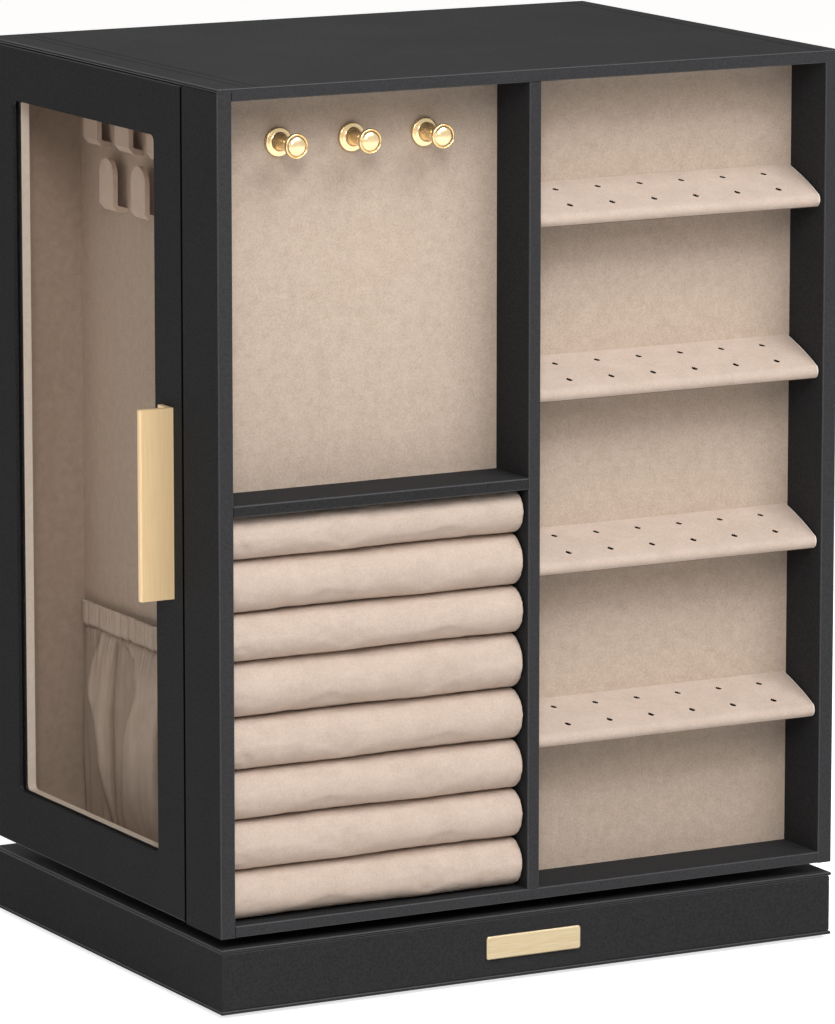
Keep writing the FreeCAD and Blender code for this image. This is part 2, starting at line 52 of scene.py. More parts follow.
LEATHERETTE_BLACK = "#262627"
LEATHERETTE_WORN = "#313132"
# Painted highlight on the rounded edges, in two grain tones.
EDGE_PAINTED_HIGHLIGHT_GREY = "#323234"
EDGE_PAINTED_HIGHLIGHT_PALE_GRAIN = "#3c3c3f"
# Painted shade for the leatherette deep in the door seams.
SEAM_PAINTED_SHADE_BLACK = "#0b0b0b"
# The top panel's colours are painted darker, as shade.
TOP_PAINTED_SHADE_BLACK = "#202021"
TOP_PAINTED_SHADE_PALE_GRAIN = "#2b2b2c"
# The boards' fronts are painted paler, as light.
FRONT_PAINTED_LIGHT_GREY = "#2d2d2e"
FRONT_PAINTED_LIGHT_PALE_GRAIN = "#38383a"
PEBBLE_MM = 0.9
PEBBLE_DEPTH_MM = 0.06
CREASE_MM = 0.35
HANDLED_PATCH_MM = 40.0
ROUGH_SPREAD = 0.05
WRAP_LINES_MM = (-118.5, -113.5, 121.5)
WRAP_LINE_MM = 0.8
WRAP_LINE_DEPTH = 5.0
# Painted shade in the top panel's sunken wrap lines.
WRAP_LINE_PAINTED_SHADE = "#19191a"
ROUNDED = 0.94
NEARLY_FLAT = 0.999
FACING_FRONT = -0.99
SEAM_BAND_MM = 1.2
EDGE_SLOT, SEAM_SLOT, FRONT_SLOT = 1, 2, 3

WRAPPED_BOARDS = [
    "base_bottom_board", "plinth_boards", "base_top_board", "top_panel", "floor_panel",
    "left_side_wall", "right_side_wall", "centre_divider", "middle_shelf", "rear_panel",
    "left_door_frame", "right_door_frame",
]
BOARDS_WITH_A_FRONT = [
    "left_side_wall", "right_side_wall", "centre_divider", "top_panel", "floor_panel",
]


def linear(hex_colour):
    """An sRGB hex colour as linear light, with an alpha of one."""
    values = []
    for start in (1, 3, 5):
        share = int(hex_colour[start:start + 2], 16) / 255
        values.append(share / 12.92 if share <= 0.04045 else ((share + 0.055) / 1.055) ** 2.4)
    return (*values, 1.0)


def add_node(owner, kind, inputs, stops=(), **settings):
    """Add a node. An input given as a node or an output is linked, and any other value is set."""
    node = owner.node_tree.nodes.new("ShaderNode" + kind)
    for name, value in settings.items():
        setattr(node, name, value)
    for number, (level, colour) in enumerate(stops):
        node.color_ramp.elements[number].position = level
        node.color_ramp.elements[number].color = linear(colour)
    for name, value in inputs.items():
        if isinstance(value, bpy.types.Node):
            value = value.outputs[0]
        if isinstance(value, bpy.types.NodeSocket):
            owner.node_tree.links.new(value, node.inputs[name])
        else:
            node.inputs[name].default_value = value
    return node


def new_material(name):
    """An empty material, and the piece's own coordinates in metres."""
    material = bpy.data.materials.new(name)
    material.use_nodes = True
    material.node_tree.nodes.clear()
    place = add_node(material, "TexCoord", {}).outputs["Object"]
    return material, place


def pebbled_leatherette(name, low, high, rough, gloss, relief, wrap_lines_mm=()):
    """Polyurethane leatherette: a matt black skin over small rounded pebbles."""
    material, place = new_material(name)
    pebbles = add_node(material, "TexVoronoi", {
        "Vector": place, "Scale": 1 / (PEBBLE_MM * MM), "Randomness": 0.9}, feature="SMOOTH_F1")
    creases = add_node(material, "TexNoise", {
        "Vector": place, "Scale": 1 / (CREASE_MM * MM), "Detail": 3.0})
    height = add_node(material, "Math", {0: pebbles, 1: -0.9, 2: creases}, operation="MULTIPLY_ADD")
    colour = add_node(material, "ValToRGB", {"Fac": height}, stops=[(0.0, high), (0.5, low)])
    if wrap_lines_mm:
        across = add_node(material, "SeparateXYZ", {"Vector": place})
        on_line = 0.0
        for line_mm in wrap_lines_mm:
            near = add_node(material, "Math", {
                0: across.outputs["X"], 1: line_mm * MM, 2: WRAP_LINE_MM * MM}, operation="COMPARE")
            on_line = add_node(material, "Math", {0: near, 1: on_line}, operation="MAXIMUM")
        height = add_node(material, "Math", {0: on_line, 1: -WRAP_LINE_DEPTH, 2: height},
                          operation="MULTIPLY_ADD")
        # Painted shade darkens the sunken lines.
        colour = add_node(material, "Mix", {
            "Factor": on_line, "A": colour, "B": linear(WRAP_LINE_PAINTED_SHADE)},
            data_type="RGBA").outputs["Result"]
    bump = add_node(material, "Bump", {
        "Height": height, "Strength": relief, "Distance": PEBBLE_DEPTH_MM * MM})
    handled = add_node(material, "TexNoise", {
        "Vector": place, "Scale": 1 / (HANDLED_PATCH_MM * MM), "Detail": 4.0})
    spread = add_node(material, "MapRange", {
        "Value": handled, "To Min": rough - ROUGH_SPREAD, "To Max": rough + ROUGH_SPREAD})
    skin = add_node(material, "BsdfPrincipled", {
        "Base Color": colour, "Roughness": spread, "IOR": 1.5, "Specular IOR Level": gloss,
        "Normal": bump})
    add_node(material, "OutputMaterial", {"Surface": skin})
    return material


def dress(names, material):
    """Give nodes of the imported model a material."""
    for name in names:
        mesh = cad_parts[name].data
        mesh.materials.clear()
        mesh.materials.append(material)


# Matt on the flat faces of the boards.
leatherette = pebbled_leatherette("pebbled_leatherette", LEATHERETTE_BLACK, LEATHERETTE_WORN,
                                  0.7, 0.03, 0.9)
# Pulled smooth over the edges, where it is glossier; its greyer colour there is a painted highlight
# that draws the box's outlines.
edge_leatherette_painted_highlight = pebbled_leatherette("leatherette_with_painted_highlight_on_edges", EDGE_PAINTED_HIGHLIGHT_GREY,
                                            EDGE_PAINTED_HIGHLIGHT_PALE_GRAIN, 0.42, 0.22, 0.15)
# Deep in the gap round each door: painted shade, nearly black, with no gloss.
leatherette_painted_seam_shade = pebbled_leatherette("leatherette_painted_shade_in_seam", SEAM_PAINTED_SHADE_BLACK, SEAM_PAINTED_SHADE_BLACK,
                                          0.8, 0.0, 0.1)
# On the top panel the colour is painted darker, as shade, and the folded ends of the sheet show
# through as three sunken lines darkened by painted shade.
top_leatherette_painted_darker = pebbled_leatherette("leatherette_painted_darker_over_folded_ends", TOP_PAINTED_SHADE_BLACK, TOP_PAINTED_SHADE_PALE_GRAIN,
                                      0.7, 0.03, 0.9, WRAP_LINES_MM)
# On the narrow fronts of the boards the colour is painted a little paler than the sides, as light.
front_leatherette_painted_lighter = pebbled_leatherette("leatherette_painted_lighter_on_board_fronts", FRONT_PAINTED_LIGHT_GREY,
                                        FRONT_PAINTED_LIGHT_PALE_GRAIN, 0.6, 0.06, 0.5)

dress(WRAPPED_BOARDS, leatherette)
seam_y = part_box("left_door_frame")[0].y
for board in WRAPPED_BOARDS:
    board_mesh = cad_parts[board].data
    board_mesh.materials.append(edge_leatherette_painted_highlight)
    board_mesh.materials.append(leatherette_painted_seam_shade)
    board_mesh.materials.append(front_leatherette_painted_lighter)
    for face in board_mesh.polygons:
        flatness = max(abs(share) for share in face.normal)
        in_seam = abs(face.center.y - seam_y) < SEAM_BAND_MM * MM
        if board in BOARDS_WITH_A_FRONT and face.normal.y < FACING_FRONT:
            # Board fronts take the colour painted paler as light.
            face.material_index = FRONT_SLOT
        elif in_seam and flatness < NEARLY_FLAT:
            # Door edges deep in the seam take the painted shade.
            face.material_index = SEAM_SLOT if "door" in board else 0
        else:
            # Rounded edges take the painted highlight.
            face.material_index = EDGE_SLOT if flatness < ROUNDED else 0
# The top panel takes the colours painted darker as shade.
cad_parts["top_panel"].data.materials[0] = top_leatherette_painted_darker


# Feet and turntable
# Four soft rubber pads under the base; above it two zinc-plated steel plates turn on nylon glides.

RUBBER_BLACK = "#161616"
RUBBER_GREY = "#202020"
NYLON_SHADE = "#d9d7cf"
NYLON_WHITE = "#e6e4dd"
ZINC_GREY = "#a9abad"
ZINC_BRIGHT = "#bcbec0"
ZINC_STREAK_MM = 6.0


def grained(name, low, high, shader, grain_mm, detail=2.0, relief=0.0, relief_mm=0.0):
    """A material with one fine grain, seen in its colour and, if it has a relief, in its height."""
    material, place = new_material(name)
    grain = add_node(material, "TexNoise", {
        "Vector": place, "Scale": 1 / (grain_mm * MM), "Detail": detail})
    colour = add_node(material, "ValToRGB", {"Fac": grain}, stops=[(0.3, low), (0.7, high)])
    if relief:
        bump = add_node(material, "Bump", {
            "Height": grain, "Strength": relief, "Distance": relief_mm * MM})
        shader = {**shader, "Normal": bump}
    surface = add_node(material, "BsdfPrincipled", {"Base Color": colour, **shader})
    add_node(material, "OutputMaterial", {"Surface": surface})
    return material


def zinc_plated_steel():
    """Bright zinc on pressed steel: faint streaks from the rolling of the sheet."""
    material, place = new_material("zinc_plated_steel")
    stretch = add_node(material, "Mapping", {"Vector": place, "Scale": (1.0, 12.0, 12.0)})
    streaks = add_node(material, "TexNoise", {
        "Vector": stretch, "Scale": 1 / (ZINC_STREAK_MM * MM), "Detail": 5.0})
    rough = add_node(material, "MapRange", {"Value": streaks, "To Min": 0.28, "To Max": 0.45})
    colour = add_node(material, "ValToRGB", {"Fac": streaks},
                      stops=[(0.3, ZINC_GREY), (0.7, ZINC_BRIGHT)])
    plate = add_node(material, "BsdfPrincipled", {
        "Base Color": colour, "Metallic": 1.0, "Roughness": rough})
    add_node(material, "OutputMaterial", {"Surface": plate})
    return material


# Moulded rubber: dull black with a fine soft grain.
rubber = grained("moulded_rubber", RUBBER_BLACK, RUBBER_GREY, {"Roughness": 0.8},
                 grain_mm=0.8, relief=0.3, relief_mm=0.05)
# Moulded nylon: milky white with a satin skin and faint flow marks.
nylon = grained("moulded_nylon", NYLON_SHADE, NYLON_WHITE, {"Roughness": 0.42, "IOR": 1.53},
                grain_mm=5.0)
zinc = zinc_plated_steel()
dress(["rubber_feet"], rubber)
dress(["turntable_glides"], nylon)
dress(["turntable_lower_plate", "turntable_upper_plate", "turntable_pivot"], zinc)


# Badge plate
# A bare stamped plate of brushed, gold-plated brass, with a bevel round its face.

SATIN_GOLD = "#c2b499"
SATIN_GOLD_DEEP = "#b4a07c"
BRUSH_MM = 0.25
BRUSH_DEPTH_MM = 0.02
BRUSH_SCALE_ALONG = 0.02
ALONG_X, ALONG_Z = 0, 2


def brushed_gold(name, along, low, high, rough, metal=1.0):
    """Brushed plate: satin, with fine scratches along one axis, drawn coarser to show."""
    material, place = new_material(name)
    scale = [1.0, 1.0, 1.0]
    scale[along] = BRUSH_SCALE_ALONG
    stretch = add_node(material, "Mapping", {"Vector": place, "Scale": scale})
    scratches = add_node(material, "TexNoise", {
        "Vector": stretch, "Scale": 1 / (BRUSH_MM * MM), "Detail": 4.0})
    bump = add_node(material, "Bump", {
        "Height": scratches, "Strength": 0.25, "Distance": BRUSH_DEPTH_MM * MM})
    spread = add_node(material, "MapRange", {
        "Value": scratches, "To Min": rough - 0.06, "To Max": rough + 0.08})
    colour = add_node(material, "ValToRGB", {"Fac": scratches}, stops=[(0.3, low), (0.7, high)])
    plate = add_node(material, "BsdfPrincipled", {
        "Base Color": colour, "Metallic": metal, "Roughness": spread, "Normal": bump})
    add_node(material, "OutputMaterial", {"Surface": plate})
    return material


# Satin gold on the badge, pale with fine level scratches.
dress(["badge_plate"],
      brushed_gold("brushed_gold_badge", ALONG_X, SATIN_GOLD_DEEP, SATIN_GOLD, 0.38))


# Velvet linings
# Card and thin boards covered in short-pile polyester velvet line the bays, the trays behind the
# doors and the inner frames of the doors. The pile lies unevenly and shows cloudy patches.

VELVET_SHADE = "#b3a090"
VELVET_LIGHT = "#c8b6a6"
BAY_SHADE = "#b8a493"
BAY_LIGHT = "#c9b7a7"
# Painted shade for the rear walls of the bays.
REAR_BAY_PAINTED_SHADE_LOW = "#a39081"
REAR_BAY_PAINTED_SHADE_HIGH = "#b5a293"
FRAME_SHADE = "#e4d7ca"
FRAME_LIGHT = "#f0e4d8"
SHEEN_TINT = "#fff0e2"
PILE_MM = 0.7
FRAME_RIM_MM = 0.3

BAY_LININGS = ["left_bay_lining", "right_bay_lining", "door_posts"]
INNER_FRAMES = ["left_door_inner_frame", "right_door_inner_frame"]


def short_pile_velvet(name, low, high, cloud_mm=3.5, pile_depth_mm=0.12, painted_shade_colour=None):
    """Short-pile velvet: no gloss, a soft sheen at the edges and clouds where the pile leans.

    Its tufts are drawn coarser than real, to show. Given a colour, painted shade is mixed in where a
    mesh attribute gives it.
    """
    material, place = new_material(name)
    clouds = add_node(material, "TexNoise", {
        "Vector": place, "Scale": 1 / (cloud_mm * MM), "Detail": 8.0, "Roughness": 0.72})
    pile = add_node(material, "TexNoise", {
        "Vector": place, "Scale": 1 / (PILE_MM * MM), "Detail": 2.0})
    cloud_share = add_node(material, "Math", {0: clouds, 1: 0.55}, operation="MULTIPLY")
    mixed = add_node(material, "Math", {0: pile, 1: 0.45, 2: cloud_share}, operation="MULTIPLY_ADD")
    bump = add_node(material, "Bump", {
        "Height": mixed, "Strength": 0.5, "Distance": pile_depth_mm * MM})
    colour = add_node(material, "ValToRGB", {"Fac": mixed}, stops=[(0.35, low), (0.62, high)])
    # Painted shade from a mesh attribute, for the creases of the pocket.
    if painted_shade_colour:
        crease_shade = add_node(material, "Attribute", {}, attribute_name="painted_crease_shade")
        colour = add_node(material, "Mix", {
            "Factor": crease_shade.outputs["Fac"], "A": colour, "B": linear(painted_shade_colour)},
            data_type="RGBA").outputs["Result"]
    cloth = add_node(material, "BsdfPrincipled", {
        "Base Color": colour, "Roughness": 0.95, "Specular IOR Level": 0.1, "Sheen Weight": 0.1,
        "Sheen Roughness": 0.45, "Sheen Tint": linear(SHEEN_TINT), "Normal": bump})
    add_node(material, "OutputMaterial", {"Surface": cloth})
    return material


# Plain beige velvet with small clouds.
dress(["display_linings"], short_pile_velvet("short_pile_velvet", VELVET_SHADE, VELVET_LIGHT))

# Behind the doors; on the rear walls the velvet is painted a little darker, as shade.
dress(BAY_LININGS, short_pile_velvet("bay_velvet", BAY_SHADE, BAY_LIGHT))
rear_bay_velvet_painted_shade = short_pile_velvet("bay_velvet_painted_shade_at_the_rear", REAR_BAY_PAINTED_SHADE_LOW, REAR_BAY_PAINTED_SHADE_HIGH)
for lining in BAY_LININGS:
    lining_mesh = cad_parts[lining].data
    lining_mesh.materials.append(rear_bay_velvet_painted_shade)
    for face in lining_mesh.polygons:
        # Faces looking to the front, on the rear walls, take the painted shade.
        face.material_index = int(face.normal.y < -0.9)

# The velvet on the doors' inner frames is paler; their outer rims show the leatherette.
dress(INNER_FRAMES, short_pile_velvet("door_frame_velvet", FRAME_SHADE, FRAME_LIGHT))
for inner_frame in INNER_FRAMES:
    frame_low, frame_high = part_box(inner_frame)
    frame_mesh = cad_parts[inner_frame].data
    frame_mesh.materials.append(leatherette)
    for face in frame_mesh.polygons:
        beside = min(face.center.y - frame_low.y, frame_high.y - face.center.y,
                     face.center.z - frame_low.z, frame_high.z - face.center.z)
        face.material_index = int(beside < FRAME_RIM_MM * MM and abs(face.normal.x) < 0.5)


# Hidden boards
# Raw fibreboard behind the linings of the display side and of the trays.

FIBREBOARD_SHADE = "#7d6247"
FIBREBOARD_BROWN = "#937658"

# Matt brown, with short pressed fibres.
fibreboard = grained("raw_fibreboard", FIBREBOARD_SHADE, FIBREBOARD_BROWN, {"Roughness": 0.9},
                     grain_mm=1.5, detail=6.0, relief=0.4, relief_mm=0.1)
dress(["display_back_board", "left_inner_panel", "right_inner_panel"], fibreboard)


# Necklace hooks
# Moulded plastic tabs behind each door, in two staggered rows. They are flocked to match the
# velvet, with a shorter pile that hides the plastic and looks a little paler.

HOOK_SHADE = "#d2bcab"
HOOK_LIGHT = "#dfcaba"

dress(["left_necklace_hooks", "right_necklace_hooks"],
      short_pile_velvet("flocked_plastic", HOOK_SHADE, HOOK_LIGHT,
                        cloud_mm=4.0, pile_depth_mm=0.03))


# Knob hooks
# Three turned brass knobs, polished and gold plated: a flange on the lining, a waisted neck that
# flares into it, and a head with a thick rim round a low dome.

KNOB_GOLD = "#edcf9d"
KNOB_GOLD_LIGHT = "#f3d9ab"
KNOB_SEGMENTS = 64
KNOB_COUNT = 3
KNOB_PROFILE_MM = [
    (0.0, 0.0), (5.2, 0.0), (5.4, 0.2), (5.4, 1.2), (5.3, 1.45), (5.0, 1.6), (4.4, 1.7), (3.6, 1.85),
    (3.2, 2.15), (2.95, 2.7), (2.8, 3.6), (2.7, 5.2), (2.65, 7.4), (2.75, 9.6), (3.0, 11.4),
    (3.4, 12.6), (3.9, 13.3), (4.35, 13.7), (4.58, 14.1), (4.65, 14.6), (4.6, 15.1), (4.45, 15.4),
    (4.25, 15.5), (4.1, 15.42), (4.0, 15.25), (3.92, 15.3), (3.75, 15.65), (3.3, 16.15), (2.5, 16.6),
    (1.6, 16.87), (0.8, 16.97), (0.0, 17.0),
]


def mesh_piece(name, vertices, faces, material, crisp_degrees=None):
    """A mesh object, shaded smooth; edges that turn by more than the angle stay crisp."""
    mesh = bpy.data.meshes.new(name)
    mesh.from_pydata([tuple(v) for v in vertices], [], faces)
    mesh.materials.append(material)
    mesh.shade_smooth()
    if crisp_degrees is not None:
        mesh.set_sharp_from_angle(angle=math.radians(crisp_degrees))
    piece = bpy.data.objects.new(name, mesh)
    bpy.context.scene.collection.objects.link(piece)
    return piece


def turned(name, profile_mm, origin, axis, material):
    """A profile of radius and height turned about an axis; its ends lie on the axis."""
    turn = Vector((0, 0, 1)).rotation_difference(axis).to_matrix()
    rows = profile_mm[1:-1]
    vertices = [origin + turn @ Vector((0, 0, profile_mm[0][1] * MM))]
    for radius, height in rows:
        for index in range(KNOB_SEGMENTS):
            angle = 2 * math.pi * index / KNOB_SEGMENTS
            point = Vector((radius * math.cos(angle), radius * math.sin(angle), height)) * MM
            vertices.append(origin + turn @ point)
    vertices.append(origin + turn @ Vector((0, 0, profile_mm[-1][1] * MM)))
    last = 1 + (len(rows) - 1) * KNOB_SEGMENTS
    faces = []
    for index in range(KNOB_SEGMENTS):
        after = (index + 1) % KNOB_SEGMENTS
        faces.append((0, 1 + after, 1 + index))
        faces.append((len(vertices) - 1, last + index, last + after))
        for row in range(len(rows) - 1):
            base = 1 + row * KNOB_SEGMENTS
            faces.append((base + index, base + after, base + KNOB_SEGMENTS + after,
                          base + KNOB_SEGMENTS + index))
    return mesh_piece(name, vertices, faces, material, crisp_degrees=50)


# Polished gold plate: bright and warm, with the faintest orange-peel ripple.
polished_gold = grained("polished_gold_plate", KNOB_GOLD, KNOB_GOLD_LIGHT,
                        {"Metallic": 0.85, "Roughness": 0.24},
                        grain_mm=3.0, relief=0.1, relief_mm=0.05)
knobs_low, knobs_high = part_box("knob_hooks")
knob_flange = (knobs_high.z - knobs_low.z) / 2
for index in range(KNOB_COUNT):
    share = index / (KNOB_COUNT - 1)
    knob_x = (knobs_low.x + knob_flange) * (1 - share) + (knobs_high.x - knob_flange) * share
    knob_place = Vector((knob_x, knobs_high.y, (knobs_low.z + knobs_high.z) / 2))
    knob = turned(f"knob_hook_{index + 1}", KNOB_PROFILE_MM, knob_place, Vector((0, -1, 0)),
                  polished_gold)
    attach(knob, "cabinet")
    if index == 0:
        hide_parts("knob_hooks")


# Ring rolls
# Eight foam rods wrapped in velvet and pressed one above the other, so that each is round in front
# and squeezed flat above and below. Rings sit in the creases between them.

ROLL_COUNT = 8
ROLL_SHADE = "#baa89a"
ROLL_LIGHT = "#cab8ab"
CREASE_SHIFTS_MM = [0.0, 1.8, 0.8, 1.8, -0.3, -0.8, -0.6, -0.5, 0.0]
CREASE_HALF_GAP_MM = 0.12
ROLL_END_ROUND_MM = 1.2
ROLL_END_STEPS = 6
ROLL_RINGS = 90
ROLL_ARC_STEPS = 36
ROLL_FLAT_STEPS = 8
ROLL_RIPPLE_MM = 0.16
ROLL_PUCKER_MM = 0.22
PUCKER_REACH_LEFT_MM = 3.0
PUCKER_REACH_RIGHT_MM = 4.0
TRIAL_ROLL = 3
FILLING_PRESSURE = 4.0
FILLING_FRAMES = 20
FILLING_CAP_MM = 0.5
LOOSE_VELVET = 0.012
VELVET_BENDING = 0.05


def roll_outline(y_nose, y_back, z_low, z_high, inset):
    """The section of one roll: back, underside, round nose and top, drawn in by the inset."""
    half = (z_high - z_low) / 2
    middle = (z_high + z_low) / 2
    radius = half - inset
    centre_y = y_nose + half
    points = []
    for step in range(ROLL_FLAT_STEPS):
        share = step / ROLL_FLAT_STEPS
        points.append((y_back + (centre_y - y_back) * share, middle - radius))
    for step in range(ROLL_ARC_STEPS + 1):
        angle = -math.pi / 2 + math.pi * step / ROLL_ARC_STEPS
        points.append((centre_y - radius * math.cos(angle), middle + radius * math.sin(angle)))
    for step in range(1, ROLL_FLAT_STEPS + 1):
        share = step / ROLL_FLAT_STEPS
        points.append((centre_y + (y_back - centre_y) * share, middle + radius))
    return points


def tube_faces(rings, count, other_way=False):
    """The quads between rings of vertices, either way round, and the two end faces."""
    faces = []
    for a in range(0, (rings - 1) * count, count):
        for step in range(count):
            after = (step + 1) % count
            quad = (a + step, a + count + step, a + count + after, a + after)
            faces.append((quad[0], *reversed(quad[1:])) if other_way else quad)
    faces.append(tuple(reversed(range(count))))
    faces.append(tuple(range((rings - 1) * count, rings * count)))
    return faces


def roll_shape(index):
    """The rings of vertices of one roll, and the faces between them."""
    low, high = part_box(f"ring_roll_{index + 1}")
    stack_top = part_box("ring_roll_1")[1].z
    stack_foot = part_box(f"ring_roll_{ROLL_COUNT}")[0].z
    pitch = (stack_top - stack_foot) / ROLL_COUNT
    z_high = stack_top - index * pitch + (CREASE_SHIFTS_MM[index] - CREASE_HALF_GAP_MM) * MM
    z_low = stack_top - (index + 1) * pitch
    z_low += (CREASE_SHIFTS_MM[index + 1] + CREASE_HALF_GAP_MM) * MM
    middle = Vector((low.y + (z_high - z_low) / 2, (z_low + z_high) / 2))
    end_round = ROLL_END_ROUND_MM * MM
    rings = []
    for ring in range(ROLL_RINGS + ROLL_END_STEPS + 1):
        if ring <= ROLL_RINGS:
            x = low.x + (high.x - end_round - low.x) * ring / ROLL_RINGS
            inset = 0
        else:
            angle = math.pi / 2 * (ring - ROLL_RINGS) / ROLL_END_STEPS
            x = high.x - end_round * (1 - math.sin(angle))
            inset = end_round * (1 - math.cos(angle))
        near_end = (math.exp(-(high.x - x) / (PUCKER_REACH_RIGHT_MM * MM))
                    + math.exp(-(x - low.x) / (PUCKER_REACH_LEFT_MM * MM)))
        points = []
        for y, z in roll_outline(low.y, high.y, z_low, z_high, inset):
            depth = min(1, max(0, (high.y - y) / (high.y - low.y)))
            ripple = noise.noise(Vector((x * 38, y * 60 + index * 7.3, z * 60))) * ROLL_RIPPLE_MM
            pucker = noise.noise(Vector((x * 20, index * 3.1, math.atan2(z - z_low, y) * 160)))
            push = (ripple + pucker * near_end * ROLL_PUCKER_MM - ROLL_RIPPLE_MM) * MM * depth
            away = (Vector((y, z)) - middle).normalized()
            points.append(Vector((x, y + away.x * push, z + away.y * push * 0.3)))
        rings.append(points)
    return rings, tube_faces(len(rings), len(rings[0]))


def filling_pushes(material):
    """Where the filling pushes the loose velvet of a roll's front: a short cloth simulation."""
    rings, faces = roll_shape(TRIAL_ROLL)
    trial = mesh_piece("roll_filling_trial", [point for ring in rings for point in ring], faces,
                       material)
    held = [ring * len(rings[0]) + step for ring in range(len(rings))
            for step in range(len(rings[0]))
            if not ROLL_FLAT_STEPS < step < ROLL_FLAT_STEPS + ROLL_ARC_STEPS
            or ring in (0, len(rings) - 1)]
    trial.vertex_groups.new(name="held").add(held, 1.0, "REPLACE")
    filling = trial.modifiers.new("filling", "CLOTH")
    filling.settings.vertex_group_mass = "held"
    filling.settings.effector_weights.gravity = 0
    filling.settings.use_pressure = True
    filling.settings.uniform_pressure_force = FILLING_PRESSURE
    filling.settings.shrink_min = -LOOSE_VELVET
    filling.settings.bending_stiffness = VELVET_BENDING
    filling.collision_settings.use_collision = False
    filling.collision_settings.use_self_collision = False
    for number in range(1, FILLING_FRAMES + 1):
        bpy.context.scene.frame_set(number)
    settled = trial.evaluated_get(bpy.context.evaluated_depsgraph_get()).data.vertices
    pushes = []
    for after, before in zip(settled, trial.data.vertices):
        push = after.co - before.co
        push.z *= 0.5
        pushes.append(push * min(1.0, FILLING_CAP_MM * MM / max(push.length, 1e-9)))
    bpy.data.objects.remove(trial)
    bpy.context.scene.frame_set(1)
    return pushes


def ring_roll(index, material, pushes):
    """One roll; every second one takes the pushes of the filling the other way round."""
    rings, faces = roll_shape(index)
    count = len(rings[0])
    vertices = []
    for ring, points in enumerate(rings):
        turned_ring = len(rings) - 1 - ring
        for step, point in enumerate(points):
            if pushes and index % 2:
                push = pushes[turned_ring * count + step]
                point = point + Vector((-push.x, push.y, push.z))
            elif pushes:
                point = point + pushes[ring * count + step]
            vertices.append(point)
    piece = mesh_piece(f"velvet_ring_roll_{index + 1}", vertices, faces, material, crisp_degrees=60)
    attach(piece, "cabinet")
    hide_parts(f"ring_roll_{index + 1}")


# Stretched over the foam, the pile lies flatter and its clouds are wider.
roll_velvet = short_pile_velvet("stretched_velvet", ROLL_SHADE, ROLL_LIGHT,
                                cloud_mm=9.0, pile_depth_mm=0.06)
roll_pushes = filling_pushes(roll_velvet)
for index in range(ROLL_COUNT):
    ring_roll(index, roll_velvet, roll_pushes)


# Earring shelves
# Four thin boards, padded and covered in velvet, slope down to the front. Two rows of small holes
# are punched through the cover for earring posts.

SHELF_COUNT = 4
SHELF_NOSE_MM = 2.8
SHELF_COLUMNS = 48
SHELF_ROWS = 24
SHELF_CURVE_STEPS = 400
SHELF_NOSE_STEPS = 14
SHELF_NOSE_TURN = math.radians(30)
SHELF_THICK_MM = 5.0
SHELF_UNDER_STEPS = 8
SHELF_END_MM = 0.9
SHELF_SWELL_MM = 0.12
END_HIGHLIGHT_REACH = 1.3
UNDERSIDE_SLOPE = -0.85
HOLE_SLOT, END_SLOT, UNDERSIDE_SLOT = 1, 2, 3
HOLE_COLUMNS = 6
HOLE_PITCH_MM = 17.9
HOLE_ROWS_MM = [6.6, 17.3]
HOLE_HALF_LENGTH_MM = 0.85
HOLE_HALF_WIDTH_MM = 0.5
HOLE_TURN = math.radians(-30)
HOLE_DEPTH_MM = 1.6
HOLE_LIP_MM = 0.1
HOLE_STEPS_MM = [-1.5, -1.15, -0.9, -0.68, -0.46, -0.23, 0.0, 0.23, 0.46, 0.68, 0.9, 1.15, 1.5]
NO_HOLE = 9.0
# Painted shade for the shelves' holes.
HOLE_PAINTED_SHADE = "#120d0a"
HOLE_PAINTED_SHADE_BROWN = "#1d1510"
# Painted shade for the shelves' undersides.
UNDERSIDE_PAINTED_SHADE = "#5e4c3f"
UNDERSIDE_PAINTED_SHADE_BROWN = "#6b5849"
# Painted highlight for the shelves' ends.
END_PAINTED_HIGHLIGHT_LOW = "#e8dccf"
END_PAINTED_HIGHLIGHT_HIGH = "#f4eae0"


def hole_lines(start, end, centres, plain_steps):
    """Even lines from start to end, with closer ones across each row of holes."""
    clear = max(HOLE_STEPS_MM) * MM * 1.2
    lines = {start, end}
    for step in range(1, plain_steps):
        line = start + (end - start) * step / plain_steps
        if all(abs(line - centre) > clear for centre in centres):
            lines.add(line)
    for centre in centres:
        lines.update(centre + step * MM for step in HOLE_STEPS_MM)
    return sorted(lines)


def shelf_top(low, high):
    """The crowned top as a curve from the lining to the nose: a function of the share forward."""
    nose = SHELF_NOSE_MM * MM
    turn = SHELF_NOSE_TURN
    back = Vector((high.y, high.z))
    front = Vector((low.y + nose - nose * math.sin(turn), low.z + nose + nose * math.cos(turn)))
    rise = (back.y - front.y) * 0.5
    middle = front + Vector((math.cos(turn), math.sin(turn))) * (rise / math.sin(turn))
    return lambda t: back * (1 - t) ** 2 + middle * 2 * t * (1 - t) + front * t ** 2


